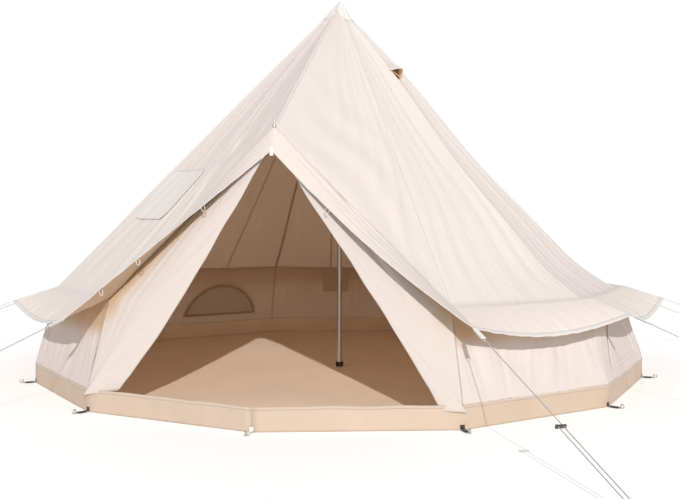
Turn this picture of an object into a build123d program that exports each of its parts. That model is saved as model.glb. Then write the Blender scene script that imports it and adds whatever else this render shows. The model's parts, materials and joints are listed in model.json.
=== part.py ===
from build123d import *
import os
from math import cos, radians, sin

# Twelve-sided canvas bell tent on a centre pole and an A-frame door, in millimetres.
# +Z is up, the door faces -Y, and the origin is on the ground under the centre pole.
# Angles go round the tent from the middle of the door (0) towards +X (90).

# Overall shape. Radii are measured to the corners, from the centre line.
SIDE_ANGLE = 30.0
HALF_SIDE = SIDE_ANGLE / 2
PEAK_HEIGHT = 2520.0
BASE_RADIUS = 2000.0
WALL_HEIGHT = 600.0
WALL_LEAN = 135.0
EAVE_OVERHANG = 270.0
EAVE_DROP = 86.0
CAP_RADIUS = 120.0
WALL_RADIUS = BASE_RADIUS - WALL_LEAN
EAVE_RADIUS = WALL_RADIUS + EAVE_OVERHANG
EAVE_HEIGHT = WALL_HEIGHT - EAVE_DROP

# Door hood: the canvas apex that the A-frame lifts, and the brim that hangs from it. The door leans
# in from the line between the two base corners beside it.
DOOR_REACH = BASE_RADIUS * cos(radians(SIDE_ANGLE))
DOOR_LEAN = 137.0
HOOD_REACH = DOOR_REACH - DOOR_LEAN
HOOD_HEIGHT = 1523.0
BRIM_REACH = 55.0
BRIM_DROP = 133.0

# Cloth and sheet thicknesses, and the gap that keeps loose layers apart.
CLOTH = 3.0
WALL_CLOTH = 2.5
SHEET = 3.0
KERB_HEIGHT = 120.0
LAYER_GAP = 0.5

# The front panels' outer corners hang this many cloth thicknesses below the roof seam.
FRONT_DROP = 1.5

# Windows in the wall and their zip-down covers.
WINDOW_ANGLES = (75.0, 135.0, -75.0, -135.0)
WINDOW_WIDTH = 640.0
WINDOW_RISE = 250.0
WINDOW_SILL = 75.0
COVER_LAP = 18.0
COVER_CLOTH = 2.5

# Door flaps, tied back in a flat roll beside each A-frame leg.
FLAP_ROLL = 16.0
FLAP_GAP = 5.0
FLAP_STANDOFF = 4.0
LEFT_FLAP_WIDTHS = (45.0, 165.0)
RIGHT_FLAP_WIDTHS = (45.0, 105.0)
LEFT_FLAP_SLANT = 185.0
RIGHT_FLAP_SLANT = 85.0
FLAP_TOP_SHARE = 0.22
FRONT_TOP_SHARE = 0.02
FLAP_FOOT_SHARE = 0.985

# Stove-pipe patch and its rain flap, on the roof panel left of the door.
PATCH_ANGLE = -45.0
PATCH_WIDTH = 420.0
PATCH_HEIGHT = 340.0
PATCH_SHEET = 2.0
FLAP_LAP = 40.0
FLAP_CORNER = 70.0
PATCH_CENTRE_HEIGHT = 1185.0

# Roof vents.
VENT_ANGLES = (75.0, -165.0)
VENT_HEIGHT = 2050.0
VENT_SHIFT = -30.0
VENT_TURN = -45.0
VENT_WIDTH = 120.0
VENT_LENGTH = 190.0
VENT_STANDOFF = 66.0
VENT_OVERHANG = 28.0
VENT_MESH_SHARE = 0.7
VENT_CLOTH = 2.0
VENT_MESH = 1.0

# Pocket inside the back wall.
POCKET_ANGLE = -165.0
POCKET_SHIFT = -50.0
POCKET_WIDTH = 220.0
POCKET_DEPTH = 175.0
POCKET_BULK = 8.0
POCKET_SILL = 255.0

# Centre pole, in three tubes.
POLE_RADIUS = 16.0
POLE_WALL = 1.2
POLE_SPIGOT_LENGTH = 140.0
POLE_FIT = 0.15
POLE_SECTIONS = 3
FOOT_RADIUS = 26.0
FOOT_HEIGHT = 32.0
FOOT_FLOOR = 6.0
POLE_CAP_HEIGHT = 34.0
POLE_CAP_CLEARANCE = 2.0
POLE_CAP_OVERLAP = 1.0

# A-frame over the door.
LEG_RADIUS = 11.0
LEG_WALL = 1.0
LEG_FIT = 0.15
LEG_GAP = 1.0
LEG_INSET = 22.0
LEG_FOOT_RADIUS = 14.0
LEG_FOOT_HEIGHT = 14.0
HUB_DROP = 73.0
HUB_RADIUS = 15.0
HUB_SPIGOT_LENGTH = 70.0
SPIKE_RADIUS = 4.0
SPIKE_RISE = 42.0
GROMMET_RADIUS = 11.0
GROMMET_HOLE = 5.0
GROMMET_DEPTH = 8.0

# Guy lines: webbing tab, ring, rope, slider and peg at every eave corner but the door's.
GUY_ANGLES = (30.0, 60.0, 90.0, 120.0, 150.0, 180.0, -150.0, -120.0, -90.0, -60.0, -30.0)
GUY_SPREAD = 1320.0
GUY_REACH = EAVE_RADIUS + GUY_SPREAD
GUY_GRIP_HEIGHT = 35.0
ROPE_RADIUS = 2.5
ROPE_GAP = 0.4
STRAP_START = 1.0
STRAP_LENGTH = 95.0
STRAP_WIDTH = 25.0
STRAP_SHEET = 2.5
RING_RADIUS = 11.0
RING_WIRE = 2.0
RING_GAP = 0.3
RETURN_LENGTH = 550.0
ROPE_TAIL = 10.0
SLIDER_LENGTH = 50.0
SLIDER_WIDTH = 16.0
SLIDER_SHEET = 6.0
SLIDER_ROUND = 4.0

# Pegs, cut off level with the ground.
PEG_RADIUS = 4.0
PEG_SHANK = 90.0
PEG_HEAD = 20.0
PEG_BEND = 9.0
PEG_TIP = 8.0
BASE_PEG_HEAD = 16.0
LOOP_LENGTH = 55.0
LOOP_LIFT = 1.0

# A rope goes round its peg with a rope's width to spare.
LOOP_BEND = PEG_RADIUS + ROPE_RADIUS + 2 * ROPE_RADIUS
STRAND_GAP = 0.6
STRAND_PITCH = 2 * LOOP_BEND + STRAND_GAP

CORNERS = [SIDE_ANGLE * step for step in range(12)]
WALL_PANELS = [SIDE_ANGLE + HALF_SIDE + SIDE_ANGLE * step for step in range(10)]


def rim(radius, angle, height):
    """A point at a radius from the centre line, an angle round from the door and a height."""
    return Vector(radius * sin(radians(angle)), -radius * cos(radians(angle)), height)


def prism(points, shift):
    """The solid that a flat outline sweeps along a straight shift."""
    outline = Face(Wire.make_polygon([Vector(point) for point in points]))
    return Solid.extrude(outline, Vector(shift))


def cloth_panel(*points):
    """One flat roof panel: its outer face has these corners, and its cloth is below them."""
    return prism(points, (0, 0, -CLOTH))


def ring_segment(profile, angle):
    """The side of the tent centred on an angle, with this (radius, height) profile at both corners."""
    turns = (angle - HALF_SIDE, angle + HALF_SIDE)
    ends = [[rim(radius, turn, height) for radius, height in profile] for turn in turns]
    count = len(profile)
    sides = [
        [ends[0][i], ends[0][(i + 1) % count], ends[1][(i + 1) % count], ends[1][i]] for i in range(count)
    ]
    solid = Solid(Shell([Face(Wire.make_polygon(outline)) for outline in ends + sides]))
    return solid.fix()


def cylinder_between(start, end, radius):
    """A round bar from one point to another."""
    run = Vector(end) - Vector(start)
    return Solid.make_cylinder(radius, run.length, Plane(origin=start, z_dir=run))


def tube_between(start, end, radius, wall):
    """A round tube from one point to another."""
    return cylinder_between(start, end, radius) - cylinder_between(start, end, radius - wall)


def side_plane(lower, upper, angle):
    """The outer face of a side, from its foot line up: X runs round the tent and Z points outwards."""
    middle = cos(radians(HALF_SIDE))
    foot = rim(lower[0] * middle, angle, lower[1])
    head = rim(upper[0] * middle, angle, upper[1])
    along = Vector(cos(radians(angle)), sin(radians(angle)), 0)
    return Plane(origin=foot, x_dir=along, z_dir=along.cross(head - foot))


def half_moon(width, rise):
    """A half-moon outline that stands on its straight edge."""
    arc = ThreePointArc((width / 2, 0), (0, rise), (-width / 2, 0))
    return make_face([arc, Line((-width / 2, 0), (width / 2, 0))])


# Corner lines of the cloth.
PEAK = Vector(0, 0, PEAK_HEIGHT)
HOOD_APEX = Vector(0, -HOOD_REACH, HOOD_HEIGHT)
BRIM_APEX = Vector(0, -HOOD_REACH - BRIM_REACH, HOOD_HEIGHT - BRIM_DROP)
ROOF_SLOPE = (PEAK_HEIGHT - WALL_HEIGHT) / WALL_RADIUS
DOWN = Vector(0, 0, -CLOTH)


def roof_height(radius):
    """The height of the roof's outer face over a corner radius."""
    return PEAK_HEIGHT - ROOF_SLOPE * radius


def cap_corner(angle):
    """A corner of the peak cap, on the roof's corner line or on the hood's ridge."""
    if angle % 360 == 0:
        return PEAK + (HOOD_APEX - PEAK) * (CAP_RADIUS / HOOD_REACH)
    return rim(CAP_RADIUS, angle, roof_height(CAP_RADIUS))


def wall_corner(angle):
    """A corner of the seam between roof and wall."""
    return rim(WALL_RADIUS, angle, WALL_HEIGHT)


def eave_corner(angle):
    """A corner of the eave."""
    return rim(EAVE_RADIUS, angle, EAVE_HEIGHT)


def base_corner(angle):
    """A corner of the wall's foot, on top of the kerb."""
    return rim(BASE_RADIUS, angle, KERB_HEIGHT)


WALL_TOP = (WALL_RADIUS, WALL_HEIGHT - CLOTH)
WALL_FOOT = (BASE_RADIUS, KERB_HEIGHT)
ROOF_FOOT = (WALL_RADIUS, WALL_HEIGHT)
ROOF_HEAD = (CAP_RADIUS, roof_height(CAP_RADIUS))


def wall_plane(angle):
    """The outer face of a wall panel."""
    return side_plane(WALL_FOOT, WALL_TOP, angle)


def roof_plane(angle, height):
    """The outer face of a roof panel, with its origin at a height."""
    plane = side_plane(ROOF_FOOT, ROOF_HEAD, angle)
    return plane.shift_origin(plane.origin + plane.y_dir * (height - WALL_HEIGHT) / plane.y_dir.Z)


def build_canvas():
    """Roof, cap, hood, brim, skirt, walls and the fixed cloth beside the door."""
    hole_depth = Vector(0, 0, 2 * GROMMET_RADIUS)
    spike_hole = cylinder_between(HOOD_APEX - hole_depth, HOOD_APEX + hole_depth, GROMMET_RADIUS + LAYER_GAP)
    sides = [(angle - HALF_SIDE, angle + HALF_SIDE) for angle in WALL_PANELS]
    roof = [cloth_panel(cap_corner(a), wall_corner(a), wall_corner(b), cap_corner(b)) for a, b in sides]
    skirt = [cloth_panel(wall_corner(a), eave_corner(a), eave_corner(b), wall_corner(b)) for a, b in sides]
    cap = [cloth_panel(PEAK, cap_corner(angle), cap_corner(angle + SIDE_ANGLE)) for angle in CORNERS]

    hood, brim, front = [], [], []
    for angle in (-SIDE_ANGLE, SIDE_ANGLE):
        top, wall, eave = cap_corner(angle), wall_corner(angle), eave_corner(angle)
        hood.append(cloth_panel(cap_corner(0), HOOD_APEX, wall, top) - spike_hole)
        brim.append(cloth_panel(HOOD_APEX, wall, eave) - spike_hole)
        brim.append(cloth_panel(HOOD_APEX, eave, BRIM_APEX) - spike_hole)
        head = HOOD_APEX + (base_corner(angle) - HOOD_APEX) * FRONT_TOP_SHARE
        front.append(prism([head, wall + DOWN * FRONT_DROP, base_corner(angle)], (0, -CLOTH, 0)))

    inner_rise = WALL_CLOTH * ROOF_SLOPE
    wall_profile = [
        WALL_TOP,
        WALL_FOOT,
        (BASE_RADIUS - WALL_CLOTH, KERB_HEIGHT),
        (WALL_RADIUS - WALL_CLOTH, WALL_HEIGHT - CLOTH + inner_rise),
    ]
    walls, meshes = [], []
    for angle in WALL_PANELS:
        wall = ring_segment(wall_profile, angle)
        if angle in [window % 360 for window in WINDOW_ANGLES]:
            opening = Pos(0, WINDOW_SILL) * half_moon(WINDOW_WIDTH, WINDOW_RISE)
            plane = wall_plane(angle)
            plug = extrude(plane * opening, amount=2 * WALL_CLOTH, both=True)
            meshes.append((wall & plug).solid())
            wall = (wall - plug).solid()
        walls.append(wall)
    return {
        "roof_panels": roof,
        "peak_cap": cap,
        "hood_panels": hood,
        "hood_brim": brim,
        "eave_skirt": skirt,
        "wall_panels": walls,
        "window_meshes": meshes,
        "front_panels": front,
    }


def build_window_covers():
    """Half-moon covers outside the windows, each hinged on its straight lower edge."""
    shape = half_moon(WINDOW_WIDTH + 2 * COVER_LAP, WINDOW_RISE + 2 * COVER_LAP)
    outline = Pos(0, WINDOW_SILL - COVER_LAP) * shape
    covers = {}
    for number, angle in enumerate(WINDOW_ANGLES, 1):
        outside = wall_plane(angle).offset(LAYER_GAP)
        covers[f"window_cover_{number}"] = extrude(outside * outline, amount=COVER_CLOTH)
    return covers


def build_door_flaps():
    """The two door flaps, rolled flat along the A-frame legs."""
    slope = HOOD_APEX - Vector(0, -DOOR_REACH, KERB_HEIGHT)
    outwards = Vector(1, 0, 0).cross(slope).normalized()
    flaps = {}
    for side, widths, slant, name in (
        (-1, LEFT_FLAP_WIDTHS, LEFT_FLAP_SLANT, "left"),
        (1, RIGHT_FLAP_WIDTHS, RIGHT_FLAP_SLANT, "right"),
    ):
        edge = base_corner(side * SIDE_ANGLE) - HOOD_APEX
        inwards = edge.cross(outwards).normalized() * side
        head = HOOD_APEX + edge * FLAP_TOP_SHARE
        foot = HOOD_APEX + edge * FLAP_FOOT_SHARE
        outline = [
            head + inwards * FLAP_GAP,
            foot + inwards * FLAP_GAP,
            foot + inwards * widths[1] - edge.normalized() * slant,
            head + inwards * widths[0],
        ]
        lifted = [point + outwards * FLAP_STANDOFF for point in outline]
        flaps[f"door_flap_{name}"] = prism(lifted, outwards * FLAP_ROLL)
    return flaps


def build_groundsheet():
    """The floor and the kerb that stands up round it."""
    inside = BASE_RADIUS - SHEET
    corners = [rim(inside, angle, 0) for angle in CORNERS]
    profile = [(BASE_RADIUS, 0), (BASE_RADIUS, KERB_HEIGHT), (inside, KERB_HEIGHT), (inside, 0)]
    return {
        "groundsheet_floor": prism(corners, (0, 0, SHEET)),
        "groundsheet_kerb": [ring_segment(profile, angle + HALF_SIDE) for angle in CORNERS],
    }


def build_stove_patch():
    """The heat-proof patch on the roof and the rain flap that hangs over it."""
    plane = roof_plane(PATCH_ANGLE, PATCH_CENTRE_HEIGHT)
    patch = RectangleRounded(PATCH_WIDTH, PATCH_HEIGHT, FLAP_CORNER / 2)
    flap = RectangleRounded(PATCH_WIDTH + 2 * FLAP_LAP, PATCH_HEIGHT + 2 * FLAP_LAP, FLAP_CORNER)
    return {
        "stove_patch": extrude(plane * patch, amount=PATCH_SHEET),
        "stove_flap": extrude(plane.offset(PATCH_SHEET + LAYER_GAP) * flap, amount=CLOTH),
    }


def build_vents():
    """Peaked hoods high on the roof, open downhill and towards the door, over a triangle of mesh."""
    hoods, meshes = [], []
    half, mouth = VENT_WIDTH / 2, -VENT_LENGTH / 2
    for angle in VENT_ANGLES:
        panel = roof_plane(angle, VENT_HEIGHT)
        place = panel.from_local_coords(Vector(VENT_SHIFT, 0, 0))
        across = panel.x_dir.rotate(Axis((0, 0, 0), panel.z_dir), VENT_TURN)
        plane = Plane(origin=place, x_dir=across, z_dir=panel.z_dir)
        head = plane.from_local_coords(Vector(0, -mouth, LAYER_GAP))
        ridge = plane.from_local_coords(Vector(0, mouth - VENT_OVERHANG, VENT_STANDOFF))
        for side in (-1, 1):
            foot = plane.from_local_coords(Vector(side * half, mouth, LAYER_GAP))
            hoods.append(prism([head, ridge, foot], plane.z_dir * VENT_CLOTH))
        corners = [(0, -mouth), (-half, mouth), (half, mouth)]
        mesh = Polygon(*[(x * VENT_MESH_SHARE, y * VENT_MESH_SHARE) for x, y in corners], align=None)
        meshes.append(extrude(plane * mesh, amount=VENT_MESH))
    return {"vent_hoods": hoods, "vent_meshes": meshes}


def build_pocket():
    """A flat pocket sewn inside the back wall."""
    plane = wall_plane(POCKET_ANGLE).offset(-WALL_CLOTH - LAYER_GAP - POCKET_BULK)
    outline = Pos(POCKET_SHIFT, POCKET_SILL + POCKET_DEPTH / 2) * Rectangle(POCKET_WIDTH, POCKET_DEPTH)
    return {"inner_pocket": extrude(plane * outline, amount=POCKET_BULK)}


def build_centre_pole():
    """Three tubes, the spigots that join them, a foot cup and a rounded top cap."""
    bottom = SHEET + FOOT_FLOOR
    narrowing = (POLE_RADIUS + POLE_CAP_CLEARANCE) / cos(radians(HALF_SIDE))
    top = roof_height(narrowing) - CLOTH
    tube_top = top - POLE_CAP_HEIGHT
    length = (tube_top - bottom) / POLE_SECTIONS
    joints = [Vector(0, 0, bottom + length * step) for step in range(POLE_SECTIONS + 1)]
    names = ("centre_pole_lower", "centre_pole_middle", "centre_pole_upper")
    pole = {
        name: tube_between(joints[i], joints[i + 1], POLE_RADIUS, POLE_WALL) for i, name in enumerate(names)
    }
    reach = Vector(0, 0, POLE_SPIGOT_LENGTH / 2)
    bore = POLE_RADIUS - POLE_WALL - POLE_FIT
    pole["centre_pole_spigots"] = [
        tube_between(joint - reach, joint + reach, bore, POLE_WALL) for joint in joints[1:-1]
    ]
    cup = Pos(0, 0, SHEET + FOOT_HEIGHT / 2) * Cylinder(FOOT_RADIUS, FOOT_HEIGHT)
    cup -= Pos(0, 0, bottom + FOOT_HEIGHT / 2) * Cylinder(POLE_RADIUS + POLE_FIT, FOOT_HEIGHT)
    pole["centre_pole_foot"] = cup
    cap = Pos(0, 0, (top + tube_top) / 2) * Cylinder(POLE_RADIUS, POLE_CAP_HEIGHT)
    cap = fillet(cap.edges().group_by(Axis.Z)[-1], POLE_RADIUS / 2)
    plug = cylinder_between((0, 0, tube_top - POLE_CAP_HEIGHT), (0, 0, tube_top + POLE_CAP_OVERLAP), bore)
    pole["centre_pole_cap"] = cap + plug
    return pole


def build_a_frame():
    """Two legs that meet in a hub, whose spike goes up through the hood's grommet."""
    hub = HOOD_APEX - (0, 0, HUB_DROP)
    lower, upper, feet = [], [], []
    foot = Pos(0, 0, LEG_FOOT_HEIGHT / 2) * Cylinder(LEG_FOOT_RADIUS, LEG_FOOT_HEIGHT)
    centre = Sphere(HUB_RADIUS).moved(Location(hub))
    centre += cylinder_between(hub, HOOD_APEX + (0, 0, SPIKE_RISE), SPIKE_RADIUS)
    for side in (-1, 1):
        stand = rim(BASE_RADIUS - LEG_INSET, side * SIDE_ANGLE, SHEET)
        run = hub - stand
        aim = run.normalized()
        tilt_drop = LEG_RADIUS * (1 - aim.Z ** 2) ** 0.5
        start = stand + aim * ((LEG_FOOT_HEIGHT + tilt_drop + LEG_GAP) / aim.Z)
        end = hub - aim * (HUB_RADIUS + LEG_GAP)
        middle = (start + end) * 0.5
        lower.append(tube_between(start, middle, LEG_RADIUS, LEG_WALL))
        upper.append(tube_between(middle, end, LEG_RADIUS, LEG_WALL))
        centre += cylinder_between(hub, end - aim * HUB_SPIGOT_LENGTH, LEG_RADIUS - LEG_WALL - LEG_FIT)
        feet.append(Pos(*stand) * foot)
    eyelet = Cylinder(GROMMET_RADIUS, GROMMET_DEPTH) - Cylinder(GROMMET_HOLE, GROMMET_DEPTH)
    return {
        "a_frame_lower_legs": lower,
        "a_frame_upper_legs": upper,
        "a_frame_hub": centre,
        "a_frame_feet": feet,
        "hood_grommet": Pos(*HOOD_APEX) * eyelet,
    }


def hooked_peg(head):
    """A round peg with a bent-over hook, whose shank runs along -Z from a head this far above 0."""
    shank = Line((0, 0, -PEG_SHANK), (0, 0, head))
    bend = ThreePointArc((0, 0, head), (PEG_BEND, 0, head + PEG_BEND), (2 * PEG_BEND, 0, head))
    tip = Line((2 * PEG_BEND, 0, head), (2 * PEG_BEND, 0, head - PEG_TIP))
    path = Wire([shank.edge(), bend.edge(), tip.edge()])
    section = Plane(origin=(0, 0, -PEG_SHANK), z_dir=(0, 0, 1)) * Circle(PEG_RADIUS)
    return sweep(section, path=path)


def above_ground(shape):
    """What is left of a shape when the ground takes what is below it."""
    return split(shape, bisect_by=Plane.XY, keep=Keep.TOP)


def wire_ring():
    """A closed wire ring that lies flat on XY."""
    return Torus(RING_RADIUS, RING_WIRE)


def guy_plane(angle):
    """The guy line's own frame: X runs down the rope from the eave and Z along its peg."""
    start = rim(EAVE_RADIUS, angle, EAVE_HEIGHT - CLOTH / 2)
    end = rim(GUY_REACH, angle, GUY_GRIP_HEIGHT)
    across = Vector(cos(radians(angle)), sin(radians(angle)), 0)
    return Plane(origin=start, x_dir=end - start, z_dir=(end - start).cross(across))


GUY_LENGTH = (rim(GUY_REACH, 0, GUY_GRIP_HEIGHT) - rim(EAVE_RADIUS, 0, EAVE_HEIGHT - CLOTH / 2)).length
RING_CENTRE = STRAP_START + STRAP_LENGTH + RING_GAP + RING_RADIUS + RING_WIRE
ROPE_START = RING_CENTRE + RING_RADIUS + RING_WIRE + LAYER_GAP
SLIDER_PLACE = GUY_LENGTH - RETURN_LENGTH


def guy_rope():
    """One rope in its own frame: down from its ring, round the peg and back through the slider."""
    route = [
        (ROPE_START, 0, 0),
        (GUY_LENGTH + LOOP_BEND, 0, 0),
        (GUY_LENGTH + LOOP_BEND, -STRAND_PITCH, 0),
        (SLIDER_PLACE - SLIDER_SHEET / 2 - ROPE_TAIL, -STRAND_PITCH, 0),
    ]
    path = FilletPolyline(*route, radius=[LOOP_BEND, LOOP_BEND])
    section = Plane(origin=route[0], z_dir=(1, 0, 0)) * Circle(ROPE_RADIUS)
    rope = sweep(section, path=path.wire())
    share = rope.volume / (section.area * path.length)
    print(f"guy rope: length {path.length:.1f} mm, bends {LOOP_BEND:.1f} mm")
    print(f"guy rope: volume {share:.4f} of section x length")
    return rope


def guy_slider():
    """A flat two-hole bar, in the rope's frame."""
    bar = Box(SLIDER_SHEET, SLIDER_LENGTH, SLIDER_WIDTH)
    bar = fillet(bar.edges().filter_by(Axis.X), SLIDER_ROUND)
    hole = Rot(0, 90, 0) * Cylinder(ROPE_RADIUS + ROPE_GAP, 2 * SLIDER_SHEET)
    for side in (-1, 1):
        bar -= Pos(0, side * STRAND_PITCH / 2) * hole
    return Pos(SLIDER_PLACE, -STRAND_PITCH / 2, 0) * bar


def build_guy_lines():
    """Eleven guy lines, all alike."""
    rope, slider = guy_rope(), guy_slider()
    strap = Pos(STRAP_START + STRAP_LENGTH / 2, 0, 0) * Box(STRAP_LENGTH, STRAP_WIDTH, STRAP_SHEET)
    ring = Pos(RING_CENTRE, 0, 0) * wire_ring()
    peg = Pos(GUY_LENGTH, -STRAND_PITCH / 2, 0) * hooked_peg(PEG_HEAD)
    lines = {"guy_straps": [], "guy_rings": [], "guy_pegs": []}
    for number, angle in enumerate(GUY_ANGLES, 1):
        place = guy_plane(angle).location
        lines["guy_straps"].append(place * strap)
        lines["guy_rings"].append(place * ring)
        lines["guy_pegs"].append(above_ground(place * peg))
        lines[f"guy_rope_{number:02d}"] = place * rope
        lines[f"guy_slider_{number:02d}"] = place * slider
    return lines


def build_base_loops():
    """Webbing loops, rings and pegs round the foot, one at each corner."""
    upright = guy_plane(0).z_dir
    loops, rings, pegs = [], [], []
    for angle in CORNERS:
        spin = Rot(0, 0, angle - 90)
        reach = BASE_RADIUS + LAYER_GAP + LOOP_LENGTH
        ring_place = reach + RING_GAP + RING_RADIUS + RING_WIRE
        ring_height = RING_WIRE + LAYER_GAP
        loop_place = Pos(reach - LOOP_LENGTH / 2, 0, LOOP_LIFT + STRAP_SHEET / 2)
        loops.append(spin * loop_place * Box(LOOP_LENGTH, STRAP_WIDTH, STRAP_SHEET))
        rings.append(spin * Pos(ring_place, 0, ring_height) * wire_ring())
        lean = Plane(
            origin=(ring_place, 0, ring_height),
            x_dir=(upright.Z, 0, upright.Y),
            z_dir=(-upright.Y, 0, upright.Z),
        )
        pegs.append(above_ground(spin * lean.location * hooked_peg(BASE_PEG_HEAD)))
    return {"base_loops": loops, "base_rings": rings, "base_pegs": pegs}


def solids_of(piece):
    """Every solid in a piece or a list of pieces."""
    pieces = piece if isinstance(piece, list) else [piece]
    return [solid for item in pieces for solid in item.solids()]


def main():
    os.makedirs("parts", exist_ok=True)
    nodes = {}
    builders = (
        build_canvas, build_window_covers, build_door_flaps, build_groundsheet, build_stove_patch,
        build_vents, build_pocket, build_centre_pole, build_a_frame, build_guy_lines, build_base_loops,
    )
    for builder in builders:
        nodes.update(builder())
    for name, piece in nodes.items():
        solids = solids_of(piece)
        shape = solids[0] if len(solids) == 1 else Compound(solids)
        export_step(shape, f"parts/{name}.step")
    print(len(nodes), "nodes")


main()
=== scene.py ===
import json
import math
import random

import bpy
import numpy as np
from mathutils import Matrix, Vector

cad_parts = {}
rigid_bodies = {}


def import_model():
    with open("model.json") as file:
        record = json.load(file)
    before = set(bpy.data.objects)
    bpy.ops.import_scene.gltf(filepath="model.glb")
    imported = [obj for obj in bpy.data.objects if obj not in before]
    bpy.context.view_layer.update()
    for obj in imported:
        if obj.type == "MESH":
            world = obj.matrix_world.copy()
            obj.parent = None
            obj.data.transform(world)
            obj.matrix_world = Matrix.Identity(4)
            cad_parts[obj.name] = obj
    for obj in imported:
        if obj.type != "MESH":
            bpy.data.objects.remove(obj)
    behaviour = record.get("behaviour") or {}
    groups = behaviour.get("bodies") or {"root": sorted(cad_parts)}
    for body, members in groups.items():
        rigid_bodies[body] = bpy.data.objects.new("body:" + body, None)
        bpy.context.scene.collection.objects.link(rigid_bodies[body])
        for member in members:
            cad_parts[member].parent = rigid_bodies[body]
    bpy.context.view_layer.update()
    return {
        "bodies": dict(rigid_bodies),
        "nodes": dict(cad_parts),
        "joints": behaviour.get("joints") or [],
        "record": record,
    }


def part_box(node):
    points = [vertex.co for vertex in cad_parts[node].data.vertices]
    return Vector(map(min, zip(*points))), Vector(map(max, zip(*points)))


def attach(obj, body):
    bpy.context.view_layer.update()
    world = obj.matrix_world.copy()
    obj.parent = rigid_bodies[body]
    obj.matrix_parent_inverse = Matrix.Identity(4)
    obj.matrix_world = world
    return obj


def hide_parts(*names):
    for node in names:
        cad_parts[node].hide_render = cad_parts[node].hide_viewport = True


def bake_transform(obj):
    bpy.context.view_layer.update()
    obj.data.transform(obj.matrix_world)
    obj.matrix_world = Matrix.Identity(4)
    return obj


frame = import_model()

print("frame loaded")

# the tent's main sizes, read from the frame
cloth = 0.003
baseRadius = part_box("groundsheet_kerb")[1].x
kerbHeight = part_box("groundsheet_kerb")[1].z
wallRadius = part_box("roof_panels")[1].x
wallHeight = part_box("roof_panels")[0].z + cloth
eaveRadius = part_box("eave_skirt")[1].x
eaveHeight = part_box("eave_skirt")[0].z + cloth
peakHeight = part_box("peak_cap")[1].z
eyelet = sum(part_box("hood_grommet"), Vector()) / 2
hoodReach, hoodHeight = -eyelet.y, eyelet.z
sideAngle = 30.0
windowTurns = (75.0, 135.0, -75.0, -135.0)
ventTurns = (75.0, -165.0)


def addCamera(settings={"turn": 12.42, "away": 6.566, "height": 1.074, "lens": 50.38, "drop": -0.0563}):
    camera = bpy.data.objects.new("camera", bpy.data.cameras.new("camera"))
    camera.data.lens = settings["lens"]
    camera.data.shift_y = settings["drop"]
    camera.location = rim(settings["away"], settings["turn"], settings["height"])
    camera.rotation_euler = (math.radians(90), 0, math.radians(settings["turn"]))
    bpy.context.scene.collection.objects.link(camera)
    bpy.context.scene.camera = camera


def addLights(settings={
    "sun": 3.0, "sunColour": (1.0, 0.965, 0.94), "sunTurn": 18.0, "sunHeight": 24.0, "sunSize": 0.8,
    "sky": 0.57, "skyColour": (0.985, 0.98, 1.0), "backdrop": 1.0,
}):
    lamp = bpy.data.lights.new("sun", "SUN")
    lamp.energy = settings["sun"]
    lamp.color = settings["sunColour"]
    lamp.angle = math.radians(settings["sunSize"])
    sun = bpy.data.objects.new("sun", lamp)
    sun.rotation_euler = (math.radians(90 - settings["sunHeight"]), 0, math.radians(settings["sunTurn"]))
    bpy.context.scene.collection.objects.link(sun)

    world = bpy.data.worlds.new("studio")
    world.use_nodes = True
    bpy.context.scene.world = world
    tree = world.node_tree
    tree.nodes.clear()
    soft = tree.nodes.new("ShaderNodeBackground")
    soft.inputs["Color"].default_value = (*settings["skyColour"], 1)
    soft.inputs["Strength"].default_value = settings["sky"]
    plain = tree.nodes.new("ShaderNodeBackground")
    plain.inputs["Color"].default_value = (1, 1, 1, 1)
    plain.inputs["Strength"].default_value = settings["backdrop"]
    path = tree.nodes.new("ShaderNodeLightPath")
    mix = tree.nodes.new("ShaderNodeMixShader")
    out = tree.nodes.new("ShaderNodeOutputWorld")
    tree.links.new(path.outputs["Is Camera Ray"], mix.inputs[0])
    tree.links.new(soft.outputs[0], mix.inputs[1])
    tree.links.new(plain.outputs[0], mix.inputs[2])
    tree.links.new(mix.outputs[0], out.inputs["Surface"])
    bpy.context.scene.view_settings.view_transform = "Standard"


def rim(radius, turn, height):
    angle = math.radians(turn)
    return Vector((radius * math.sin(angle), -radius * math.cos(angle), height))


class Signal:
    # one output socket of a material, so that node maths reads as arithmetic
    def __init__(self, paint, socket):
        self.paint, self.socket = paint, socket

    def math(self, operation, other=None, flipped=False, clamp=False):
        # numbers go through Math, vectors through Vector Math and colours through Mix
        pair = [other, self] if flipped else [self, other]
        values = {place: value for place, value in enumerate(pair) if value is not None}
        kinds = {value.socket.type for value in pair if isinstance(value, Signal)}
        if "RGBA" in kinds:
            return self.paint.blend(1.0, pair[0], pair[1], operation)
        if "VECTOR" in kinds:
            return self.paint.node("ShaderNodeVectorMath", {"operation": operation}, values)
        return self.paint.node("ShaderNodeMath", {"operation": operation, "use_clamp": clamp}, values)

    def __add__(self, other): return self.math("ADD", other)
    def __radd__(self, other): return self.math("ADD", other, True)
    def __sub__(self, other): return self.math("SUBTRACT", other)
    def __rsub__(self, other): return self.math("SUBTRACT", other, True)
    def __mul__(self, other): return self.math("MULTIPLY", other)
    def __rmul__(self, other): return self.math("MULTIPLY", other, True)
    def __truediv__(self, other): return self.math("DIVIDE", other)
    def __rtruediv__(self, other): return self.math("DIVIDE", other, True)
    def __lt__(self, other): return self.math("LESS_THAN", other)
    def __gt__(self, other): return self.math("GREATER_THAN", other)
    def wave(self, period): return (self * (2 * math.pi / period)).math("SINE")
    def size(self): return self.math("ABSOLUTE")
    def part(self): return self.math("FRACT")
    def held(self): return self.math("ADD", 0.0, clamp=True)


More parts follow.
